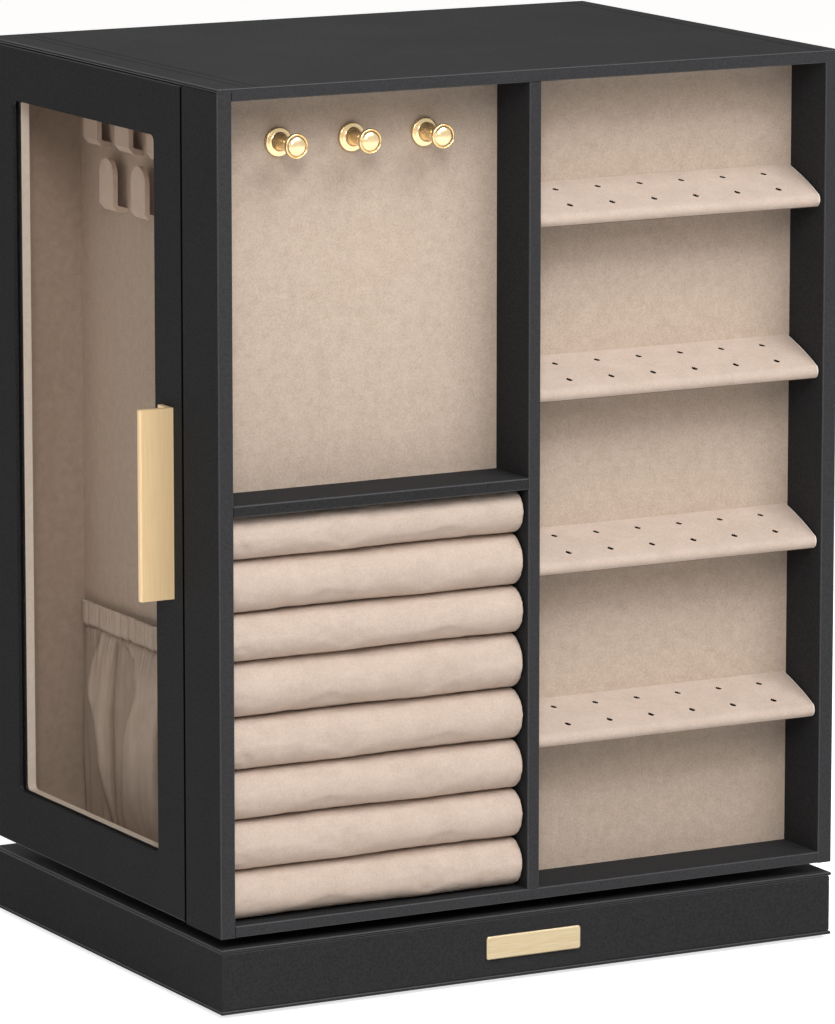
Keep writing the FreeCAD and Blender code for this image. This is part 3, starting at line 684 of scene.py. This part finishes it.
def shelf_section(low, high, rows):
    """The section: crowned top from the lining forward, round nose and flat underside."""
    nose = SHELF_NOSE_MM * MM
    top = shelf_top(low, high)
    table = [top(step / SHELF_CURVE_STEPS) for step in range(SHELF_CURVE_STEPS + 1)]
    section = []
    for y in reversed(hole_lines(table[-1].x, high.y, rows, SHELF_ROWS)):
        nearest = min(table, key=lambda point: abs(point.x - y))
        section.append((y, nearest.y, "top"))
    for step in range(1, SHELF_NOSE_STEPS + 1):
        angle = math.pi / 2 + SHELF_NOSE_TURN
        angle += (math.pi - SHELF_NOSE_TURN) * step / SHELF_NOSE_STEPS
        section.append((low.y + nose + nose * math.cos(angle),
                        low.z + nose + nose * math.sin(angle), "nose"))
    for step in range(1, SHELF_UNDER_STEPS + 1):
        share = step / SHELF_UNDER_STEPS
        y = low.y + nose + (high.y - low.y - nose) * share
        section.append((y, low.z + (high.z - SHELF_THICK_MM * MM - low.z) * share, "under"))
    return section


def hole_reach(x, y, columns, rows):
    """How far a point is from the nearest hole's middle, in hole sizes along and across."""
    along = Vector((math.cos(HOLE_TURN), math.sin(HOLE_TURN)))
    best = NO_HOLE
    for column in columns:
        for row in rows:
            apart = Vector((x - column, y - row)) / MM
            length = apart.dot(along) / HOLE_HALF_LENGTH_MM
            width = apart.cross(along) / HOLE_HALF_WIDTH_MM
            best = min(best, math.hypot(length, width))
    return best


def earring_shelf(index, velvet, slots):
    """One shelf: punched holes on top, rounded ends and painted shade below."""
    low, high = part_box(f"earring_shelf_{index + 1}")
    middle_x = (low.x + high.x) / 2
    columns = [middle_x + (c - (HOLE_COLUMNS - 1) / 2) * HOLE_PITCH_MM * MM
               for c in range(HOLE_COLUMNS)]
    rows = [high.y - row * MM for row in HOLE_ROWS_MM]
    end = SHELF_END_MM * MM
    xs = [low.x + end * (1 - math.cos(math.pi / 8 * k)) for k in range(4)]
    xs += hole_lines(low.x + end, high.x - end, columns, SHELF_COLUMNS)
    xs += [high.x - end * (1 - math.cos(math.pi / 8 * k)) for k in (3, 2, 1, 0)]
    section = shelf_section(low, high, rows)
    centre = Vector((low.y + (high.y - low.y) * 0.5, low.z + (high.z - low.z) * 0.5))
    vertices = []
    dark = []
    for x in xs:
        into = max(0.0, end - min(x - low.x, high.x - x))
        draw = end - math.sqrt(max(0.0, end * end - into * into))
        for y, z, part in section:
            reach = hole_reach(x, y, columns, rows) if part == "top" else NO_HOLE
            if part == "under":
                place = (x, y, z + draw)
            elif part == "nose":
                inward = (centre - Vector((y, z))).normalized() * draw
                place = (x, y + inward.x, z + inward.y)
            else:
                swell = noise.noise(Vector((x * 45, y * 45, index * 5.0 + z))) * SHELF_SWELL_MM
                swell *= min(1.0, (high.y - y) / (3 * MM))
                pit = HOLE_DEPTH_MM / (1 + math.exp((reach - 0.95) * 9)) if reach < 2.5 else 0.0
                lip = HOLE_LIP_MM * math.exp(-((reach - 1.6) / 0.35) ** 2)
                place = (x, y, z - draw + (lip + swell - pit) * MM)
            vertices.append(place)
            dark.append(reach < 1.3)
    faces = tube_faces(len(xs), len(section), other_way=True)
    piece = mesh_piece(f"velvet_earring_shelf_{index + 1}", vertices, faces, velvet,
                       crisp_degrees=75)
    for material in slots:
        piece.data.materials.append(material)
    for face in piece.data.polygons:
        if len(face.vertices) > 4:
            continue
        # Faces near the end take the painted highlight.
        if face.center.x > high.x - END_HIGHLIGHT_REACH * end:
            face.material_index = END_SLOT
        # The underside and the lowest strip of the nose take the painted shade.
        elif face.normal.z < UNDERSIDE_SLOPE:
            face.material_index = UNDERSIDE_SLOT
        # Faces in the holes take the painted shade.
        elif sum(dark[v] for v in face.vertices) >= 2:
            face.material_index = HOLE_SLOT
    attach(piece, "cabinet")
    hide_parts(f"earring_shelf_{index + 1}")


# Painted shade down the punched holes, nearly black, with a fine grain drawn coarser to show.
hole_painted_shade = grained("painted_shade_in_holes", HOLE_PAINTED_SHADE, HOLE_PAINTED_SHADE_BROWN,
                    {"Roughness": 1.0, "Specular IOR Level": 0.0}, grain_mm=0.5)
# Painted shade under each shelf and on the lowest strip of its nose: a dark brown that also dims the
# light bounced below it.
underside_painted_shade = grained("painted_shade_under_the_shelves", UNDERSIDE_PAINTED_SHADE, UNDERSIDE_PAINTED_SHADE_BROWN, {"Roughness": 0.85},
                        grain_mm=2.0)
# Over a shelf's end the velvet is painted paler, as a highlight.
end_velvet_painted_highlight = short_pile_velvet("velvet_painted_highlight_over_the_end", END_PAINTED_HIGHLIGHT_LOW, END_PAINTED_HIGHLIGHT_HIGH,
                                   cloud_mm=2.0)
for index in range(SHELF_COUNT):
    earring_shelf(index, roll_velvet, [hole_painted_shade, end_velvet_painted_highlight, underside_painted_shade])


# Necklace pockets
# A strip of soft velvet hangs across the lower part of each tray behind a door. Its top is gathered
# on an elastic band, and the fullness falls from it in long folds that are tucked in at the floor.

POCKET_SHADE = "#b9a697"
POCKET_LIGHT = "#cdbcae"
# Painted shade for the pocket's creases.
POCKET_PAINTED_SHADE = "#6b5647"
POCKET_CLOTH_MM = 0.5
POCKET_COLUMNS = 260
POCKET_ROWS = 120
WALL_GAP_MM = 0.4
SIDE_SEAM_MM = 5.0
BAND_MM = 10.0
BAND_STAND_MM = 2.6
BAND_RIM_MM = 0.35
STITCH_DEPTH_MM = 1.0
STITCH_WIDTH_MM = 0.8
RUCHE_PITCH_MM = 3.1
RUCHE_MM = 0.62
SWELL_MM = 2.2
FOLD_MM = 3.4
FOLD_SIDE_MM = 2.0
CREASE_WIDTH_MM = 0.8
CREASE_DEPTH_MM = 1.2
SHADE_BESIDE_CREASE_MM = 2.2
# Each fold lies between two creases, given as heights and distances from the rear.
POCKET_FOLDS_MM = [
    ([(12, 26), (30, 22), (56, 12), (77, 17)], [(2, 33), (9, 32), (25, 32), (53, 33), (76, 34)]),
    ([(7, 38), (35, 42), (60, 52), (68, 50), (76, 39)], [(5, 76), (30, 72), (55, 74), (76, 78)]),
    ([(5, 80), (30, 84), (60, 86), (76, 82)], [(5, 92), (30, 95), (60, 94), (76, 95)]),
    ([(5, 97), (40, 101), (76, 98)], [(5, 108), (35, 111), (60, 110), (76, 112)]),
    ([(5, 113), (25, 116), (50, 114), (76, 116)], [(5, 124), (30, 128), (76, 127)]),
    ([(5, 128), (40, 131), (76, 130)], [(5, 142), (40, 143), (76, 141)]),
]


def step_up(share):
    """A smooth step from nought to one."""
    share = min(1.0, max(0.0, share))
    return share * share * (3 - 2 * share)


def along_crease(crease, height):
    """How far from the rear a crease runs at this height; both in millimetres."""
    if height <= crease[0][0]:
        return crease[0][1]
    for (low, start), (high, end) in zip(crease, crease[1:]):
        if height <= high:
            return start + (end - start) * step_up((height - low) / (high - low))
    return crease[-1][1]


def pocket_out(rear, height, width, drop):
    """How far the cloth stands out from the wall, in millimetres, and how much shade is painted on
    it.
    """
    hold = step_up(min(rear, width - rear) / SIDE_SEAM_MM)
    wander = noise.noise(Vector((rear * 0.21, 4.0, 0.5)))
    ruche = math.sin(2 * math.pi * rear / RUCHE_PITCH_MM + 5 * wander) * (0.7 + 0.6 * wander)
    band_foot = drop - BAND_MM + 0.7 * noise.noise(Vector((rear * 0.16, 1.0, 7.7)))
    below = band_foot - height
    stitched = math.exp(-(below / STITCH_WIDTH_MM) ** 2)
    if below < 0:
        rim = BAND_RIM_MM * math.exp(-((drop - height) / 0.9) ** 2)
        out = BAND_STAND_MM + ruche * RUCHE_MM - stitched * STITCH_DEPTH_MM + rim
        # Painted shade in the ruche valleys and along the stitching.
        painted_shade = 0.45 * max(0.0, -ruche) + 0.5 * stitched
        return WALL_GAP_MM + out * hold, painted_shade
    puff = 1 - math.exp(-below / 2.6)
    sink = math.sin(math.pi * min(1.0, (height + 4) / (band_foot + 4))) ** 0.7
    fold = 0.0
    groove = 0.0
    beside = 0.0
    for front_crease, back_crease in POCKET_FOLDS_MM:
        start = along_crease(front_crease, height)
        end = along_crease(back_crease, height)
        sides = (step_up((rear - start) / FOLD_SIDE_MM + 0.5)
                 * step_up((end - rear) / FOLD_SIDE_MM + 0.5))
        apart = min(abs(rear - start), abs(rear - end))
        groove = max(groove, math.exp(-(apart / CREASE_WIDTH_MM) ** 2))
        beside = max(beside, math.exp(-(apart / SHADE_BESIDE_CREASE_MM) ** 2))
        crown = 0.7 + 0.3 * math.sin(math.pi * min(1.0, max(0.0, (rear - start) / (end - start))))
        fold = max(fold, sides * crown)
    fold *= (0.25 + 0.75 * sink) * step_up((height + 6) / 24)
    soft = noise.noise(Vector((rear * 0.09, height * 0.05, 2.2))) * 0.7
    lean = rear + 3.0 * noise.noise(Vector((rear * 0.03, height * 0.03, 6.1)))
    hang = noise.noise(Vector((lean * 0.2, height * 0.012, 5.4)))
    fine = noise.noise(Vector((lean * 0.45, height * 0.02, 8.0))) * 0.9 * math.exp(-below / 30)
    out = BAND_STAND_MM * (1 - puff) + puff * (
        1.0 + SWELL_MM * sink + FOLD_MM * fold + soft + hang + fine)
    out += ruche * RUCHE_MM * 0.9 * math.exp(-below / 7) - stitched * STITCH_DEPTH_MM
    out -= CREASE_DEPTH_MM * groove * puff * step_up((height + 2) / 10)
    # Painted shade in the creases, the ruches, the stitching and between the folds.
    painted_shade = (0.25 * groove + 0.3 * beside) * step_up(below / 3)
    painted_shade += 0.6 * max(0.0, -ruche) * math.exp(-below / 6)
    painted_shade += 0.3 * (1 - min(1.0, fold * 1.3)) + 0.5 * stitched
    return WALL_GAP_MM + max(out, 0.0) * hold, painted_shade


def pocket(side_name, side, material):
    """One pocket, as a sheet that stands out from the wall of its tray."""
    low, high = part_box(f"{side_name}_pocket")
    wall = min(abs(low.x), abs(high.x))
    width = (high.y - low.y) / MM
    drop = (high.z - low.z) / MM
    vertices = []
    crease_shade = []
    for row in range(POCKET_ROWS + 1):
        for column in range(POCKET_COLUMNS + 1):
            rear = width * column / POCKET_COLUMNS
            height = drop * row / POCKET_ROWS
            out, painted_shade = pocket_out(rear if side < 0 else width - rear, height, width, drop)
            crease_shade.append(min(1.0, painted_shade))
            edge = 0.45 * noise.noise(Vector((rear * 0.3, 3.0, 1.0))) * step_up(row / 8 - 14)
            vertices.append((side * (wall + out * MM), high.y - rear * MM,
                             low.z + (height + edge) * MM))
    wide = POCKET_COLUMNS + 1
    faces = []
    for row in range(POCKET_ROWS):
        for column in range(POCKET_COLUMNS):
            a = row * wide + column
            quad = (a, a + 1, a + wide + 1, a + wide)
            faces.append(quad if side < 0 else tuple(reversed(quad)))
    piece = mesh_piece(f"{side_name}_necklace_pocket", vertices, faces, material)
    # The painted shade goes to the velvet as a mesh attribute.
    pile = piece.data.attributes.new("painted_crease_shade", "FLOAT", "POINT")
    pile.data.foreach_set("value", crease_shade)
    cloth = piece.modifiers.new("cloth_thickness", "SOLIDIFY")
    cloth.thickness = POCKET_CLOTH_MM * MM
    cloth.offset = 0
    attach(piece, "cabinet")
    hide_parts(f"{side_name}_pocket")


# Thin velvet; painted shade darkens its creases, ruches and stitching, and the hollows between its
# folds.
pocket_velvet = short_pile_velvet("thin_gathered_velvet", POCKET_SHADE, POCKET_LIGHT,
                                  cloud_mm=10.0, pile_depth_mm=0.05, painted_shade_colour=POCKET_PAINTED_SHADE)
pocket("left", -1, pocket_velvet)
pocket("right", 1, pocket_velvet)


# Door panes
# Clear cast acrylic, a millimetre thick, slid into a groove of the door frame. Its tint is the
# share of red, green and blue light that passes, already linear.

ACRYLIC_TINT = (0.98, 0.975, 0.965, 1.0)


def clear_acrylic():
    """Clear acrylic: it passes nearly all light and mirrors a little more at a slant."""
    material = new_material("clear_cast_acrylic")[0]
    clear = add_node(material, "BsdfTransparent", {"Color": ACRYLIC_TINT})
    gloss = add_node(material, "BsdfGlossy", {"Roughness": 0.02})
    slant = add_node(material, "Fresnel", {"IOR": 1.05})
    side = add_node(material, "NewGeometry", {})
    outer = add_node(material, "Math", {0: 1.0, 1: side.outputs["Backfacing"]},
                     operation="SUBTRACT")
    share = add_node(material, "Math", {0: slant, 1: outer}, operation="MULTIPLY")
    both = add_node(material, "MixShader", {"Fac": share, 1: clear, 2: gloss})
    add_node(material, "OutputMaterial", {"Surface": both})
    return material


dress(["left_door_pane", "right_door_pane"], clear_acrylic())


# Door handles
# An angle section of zinc alloy, brushed and plated pale gold, and fixed from inside the door. Its
# colour is painted pale and barely metallic, as painted light, so it stays bright where it faces the
# shade.

# The handle's colours are painted pale, as light.
HANDLE_PAINTED_LIGHT_GOLD = "#ffe0b0"
HANDLE_PAINTED_LIGHT_GOLD_DEEP = "#f6d29d"

dress(["left_door_handle", "right_door_handle"],
      brushed_gold("brushed_gold_handle_painted_light", ALONG_Z, HANDLE_PAINTED_LIGHT_GOLD_DEEP, HANDLE_PAINTED_LIGHT_GOLD, 0.38, 0.12))


# Hinges and catches
# Small brass-plated butt hinges at the rear edges, a deeper and shinier yellow than the gold. In
# front are block magnets in the posts, with steel plates on the doors.

HINGE_BRASS = "#a9854a"
HINGE_BRASS_LIGHT = "#c39a5a"

hinge_brass = brushed_gold("brass_plated_steel", ALONG_Z, HINGE_BRASS, HINGE_BRASS_LIGHT, 0.3)
dress(["cabinet_hinge_leaves", "hinge_pins", "left_door_hinge_leaves", "right_door_hinge_leaves"],
      hinge_brass)
dress(["door_magnets", "left_door_strike_plate", "right_door_strike_plate"], zinc)


# Screws
# Small cross-head screws hold the door leaves of the hinges and, from inside, the handles.

SCREW_RINGS = 14
SCREW_SPOKES = 48
SCREW_STAND_MM = 0.35
CROSS_WIDTH_MM = 0.42
CROSS_REACH = 0.62
CROSS_DEPTH_MM = 0.3
HINGE_SCREW_IN_MM = 3.6
HINGE_MIDDLE_MM = 12.0
HANDLE_SCREW_IN_MM = 3.2


def screw_head(name, place, axis, body, material, radius_mm):
    """A low domed head with a cross pressed into it; its flat underside is on the plate."""
    turn = Vector((0, 0, 1)).rotation_difference(axis).to_matrix()
    vertices = []
    for ring in range(1, SCREW_RINGS + 1):
        share = min(1.0, ring / (SCREW_RINGS - 1))
        for spoke in range(SCREW_SPOKES):
            angle = 2 * math.pi * spoke / SCREW_SPOKES
            x = radius_mm * share * math.cos(angle)
            y = radius_mm * share * math.sin(angle)
            height = SCREW_STAND_MM * math.sqrt(max(0.0, 1 - 0.8 * share * share))
            across = min(abs(x), abs(y)) / (CROSS_WIDTH_MM / 2)
            along = max(abs(x), abs(y)) / (radius_mm * CROSS_REACH)
            height -= CROSS_DEPTH_MM * step_up(1.5 - across) * step_up((1.15 - along) / 0.3)
            if ring == SCREW_RINGS:
                height = 0.0
            vertices.append(place + turn @ (Vector((x, y, height)) * MM))
    vertices.append(place + turn @ Vector((0, 0, (SCREW_STAND_MM - CROSS_DEPTH_MM) * MM)))
    faces = []
    for spoke in range(SCREW_SPOKES):
        after = (spoke + 1) % SCREW_SPOKES
        faces.append((len(vertices) - 1, spoke, after))
        for ring in range(SCREW_RINGS - 1):
            a = ring * SCREW_SPOKES
            faces.append((a + spoke, a + SCREW_SPOKES + spoke, a + SCREW_SPOKES + after, a + after))
    piece = mesh_piece(name, vertices, faces, material, crisp_degrees=40)
    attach(piece, body)


leaf_low, leaf_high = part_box("cabinet_hinge_leaves")
for level, leaf_z in (("lower", leaf_low.z + HINGE_MIDDLE_MM * MM),
                      ("upper", leaf_high.z - HINGE_MIDDLE_MM * MM)):
    for shift, step_mm in (("a", -8.0), ("b", 8.0)):
        for side_name, side in (("left", -1), ("right", 1)):
            door_low, door_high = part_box(f"{side_name}_door_hinge_leaves")
            face_x = min(abs(door_low.x), abs(door_high.x))
            place = Vector((side * face_x, leaf_low.y + HINGE_SCREW_IN_MM * MM,
                            leaf_z + step_mm * MM))
            screw_head(f"{side_name}_{level}_hinge_screw_{shift}", place, Vector((-side, 0, 0)),
                       f"{side_name}_door", hinge_brass, radius_mm=1.3)

for side_name, side in (("left", -1), ("right", 1)):
    handle_low, handle_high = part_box(f"{side_name}_door_handle")
    inner_low, inner_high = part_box(f"{side_name}_door_inner_frame")
    inner_x = side * min(abs(inner_low.x), abs(inner_high.x))
    for number, share in ((1, 0.16), (2, 0.84)):
        place = Vector((inner_x, handle_high.y - HANDLE_SCREW_IN_MM * MM,
                        handle_low.z + (handle_high.z - handle_low.z) * share))
        screw_head(f"{side_name}_handle_screw_{number}", place, Vector((-side, 0, 0)),
                   f"{side_name}_door", zinc, radius_mm=2.4)


# Rear mirror
# A flat silvered mirror with a ground bevel, let into the rear panel.

MIRROR_SILVER = "#c3cdd0"
MIRROR_BEVEL_SILVER = "#dde4e6"
MIRROR_HAZE_MM = 90.0
MIRROR_BEVEL_MM = 8.0
MIRROR_BEVEL_DROP_MM = 0.5


def silvered_glass():
    """Silvered glass: a cool, slightly dark mirror whose ground bevel shows as a paler border."""
    material, place = new_material("silvered_glass")
    low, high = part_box("rear_mirror")
    middle = (low + high) / 2
    haze = add_node(material, "TexNoise", {"Vector": place, "Scale": 1 / (MIRROR_HAZE_MM * MM)})
    rough = add_node(material, "MapRange", {"Value": haze, "To Min": 0.01, "To Max": 0.025})
    parts = add_node(material, "SeparateXYZ", {"Vector": place})
    inward = []
    for axis, centre, edge in (("X", middle.x, high.x), ("Z", middle.z, high.z)):
        off = add_node(material, "Math", {0: parts.outputs[axis], 1: centre}, operation="SUBTRACT")
        away = add_node(material, "Math", {0: off}, operation="ABSOLUTE")
        inward.append(add_node(material, "Math", {0: edge - centre, 1: away}, operation="SUBTRACT"))
    nearest = add_node(material, "Math", {0: inward[0], 1: inward[1]}, operation="MINIMUM")
    bevel = add_node(material, "MapRange", {"Value": nearest, "From Max": MIRROR_BEVEL_MM * MM})
    bump = add_node(material, "Bump", {
        "Height": bevel, "Strength": 1.0, "Distance": MIRROR_BEVEL_DROP_MM * MM})
    colour = add_node(material, "ValToRGB", {"Fac": bevel},
                      stops=[(0.9, MIRROR_BEVEL_SILVER), (0.99, MIRROR_SILVER)])
    mirror = add_node(material, "BsdfPrincipled", {
        "Base Color": colour, "Metallic": 1.0, "Roughness": rough, "Normal": bump})
    add_node(material, "OutputMaterial", {"Surface": mirror})
    return material


dress(["rear_mirror"], silvered_glass())


# Studio
# A plain pale floor under an even sky. A large soft lamp stands above the open side, a smaller one
# to its left, a weak low one behind the box and a faint one at the far left.

FLOOR_WHITE = "#f4f4f4"
FLOOR_HALF = 6.0
FLOOR_LIFT = 0.75
SKY_LEVEL = 0.24
SKY_WARM = "#e7e1db"
SKY_BRIGHT = "#e7e7e7"
BOX_MIDDLE = (0, 0, 0.18)


def seen_directly(owner):
    """One for camera, mirror and see-through rays, and nought for the rays that light the object."""
    path = add_node(owner, "LightPath", {})
    first = add_node(owner, "Math", {
        0: path.outputs["Is Camera Ray"], 1: path.outputs["Is Glossy Ray"]}, operation="MAXIMUM")
    return add_node(owner, "Math", {0: first, 1: path.outputs["Is Transmission Ray"]},
                    operation="MAXIMUM")


def pale_floor():
    """Matt pale paint that takes shadows, lifted towards white only where it is seen directly."""
    material = new_material("pale_studio_floor")[0]
    paint = add_node(material, "BsdfDiffuse", {"Color": linear(FLOOR_WHITE)})
    level = add_node(material, "Math", {0: seen_directly(material), 1: FLOOR_LIFT},
                     operation="MULTIPLY")
    lift = add_node(material, "Emission", {"Strength": level})
    both = add_node(material, "AddShader", {0: paint, 1: lift})
    add_node(material, "OutputMaterial", {"Surface": both})
    return material


def area_lamp(name, place, aim, size, power):
    """A soft rectangular lamp at a place, aimed at a point; its power is in watts."""
    data = bpy.data.lights.new(name, "AREA")
    data.shape = "RECTANGLE"
    data.size, data.size_y = size
    data.energy = power
    lamp = bpy.data.objects.new(name, data)
    lamp.location = place
    lamp.rotation_euler = (Vector(aim) - Vector(place)).to_track_quat("-Z", "Y").to_euler()
    bpy.context.scene.collection.objects.link(lamp)


floor_corners = [(x * FLOOR_HALF, y * FLOOR_HALF, 0)
                 for x, y in ((-1, -1), (1, -1), (1, 1), (-1, 1))]
mesh_piece("studio_floor", floor_corners, [(0, 1, 2, 3)], pale_floor())

world = bpy.data.worlds.new("even_sky")
bpy.context.scene.world = world
world.use_nodes = True
world.node_tree.nodes.clear()
seen = seen_directly(world)
sky_level = add_node(world, "MapRange", {"Value": seen, "To Min": SKY_LEVEL, "To Max": 1.0})
sky_tint = add_node(world, "Mix", {
    "Factor": seen, "A": linear(SKY_WARM), "B": linear(SKY_BRIGHT)}, data_type="RGBA")
sky = add_node(world, "Background", {"Color": sky_tint.outputs["Result"], "Strength": sky_level})
add_node(world, "OutputWorld", {"Surface": sky})

area_lamp("key_softbox", (0.4, -1.35, 1.9), BOX_MIDDLE, (1.4, 1.1), 38)
area_lamp("front_left_softbox", (-0.9, -1.75, 1.35), (-0.12, 0, 0.18), (0.6, 0.9), 18)
area_lamp("rear_fill", (0.5, 2.0, 0.27), BOX_MIDDLE, (1.2, 0.4), 7)
area_lamp("left_fill", (-1.9, -0.5, 0.9), BOX_MIDDLE, (0.9, 1.0), 3)


# Camera
# A long lens at the photograph's angle, found by fitting the cabinet's edges to it.

CAMERA_AZIMUTH = math.radians(-28.558)
CAMERA_PITCH = math.radians(10.385)
CAMERA_DISTANCE = 2.66144
CAMERA_RIGHT = 0.002822
CAMERA_UP = 0.156819
FIT_FLOOR_Z = 0.0015
FOCAL_PIXELS = 6931.57
LONG_SIDE_PIXELS = 1024
SENSOR_MM = 36.0

camera_data = bpy.data.cameras.new("photo_camera")
camera_data.sensor_fit = "AUTO"
camera_data.sensor_width = SENSOR_MM
camera_data.lens = FOCAL_PIXELS / LONG_SIDE_PIXELS * SENSOR_MM
camera_data.clip_start = 0.05
camera_data.clip_end = 50
camera = bpy.data.objects.new("photo_camera", camera_data)
bpy.context.scene.collection.objects.link(camera)
back = Vector((math.sin(CAMERA_AZIMUTH) * math.cos(CAMERA_PITCH),
               -math.cos(CAMERA_AZIMUTH) * math.cos(CAMERA_PITCH), math.sin(CAMERA_PITCH)))
right = Vector((math.cos(CAMERA_AZIMUTH), math.sin(CAMERA_AZIMUTH), 0))
up = back.cross(right)
camera.matrix_world = Matrix((right, up, back)).transposed().to_4x4()
camera.location = (back * CAMERA_DISTANCE + right * CAMERA_RIGHT + up * CAMERA_UP
                   + Vector((0, 0, FIT_FLOOR_Z)))
bpy.context.scene.camera = camera

bpy.context.scene.view_settings.view_transform = "Standard"

bpy.context.view_layer.update()
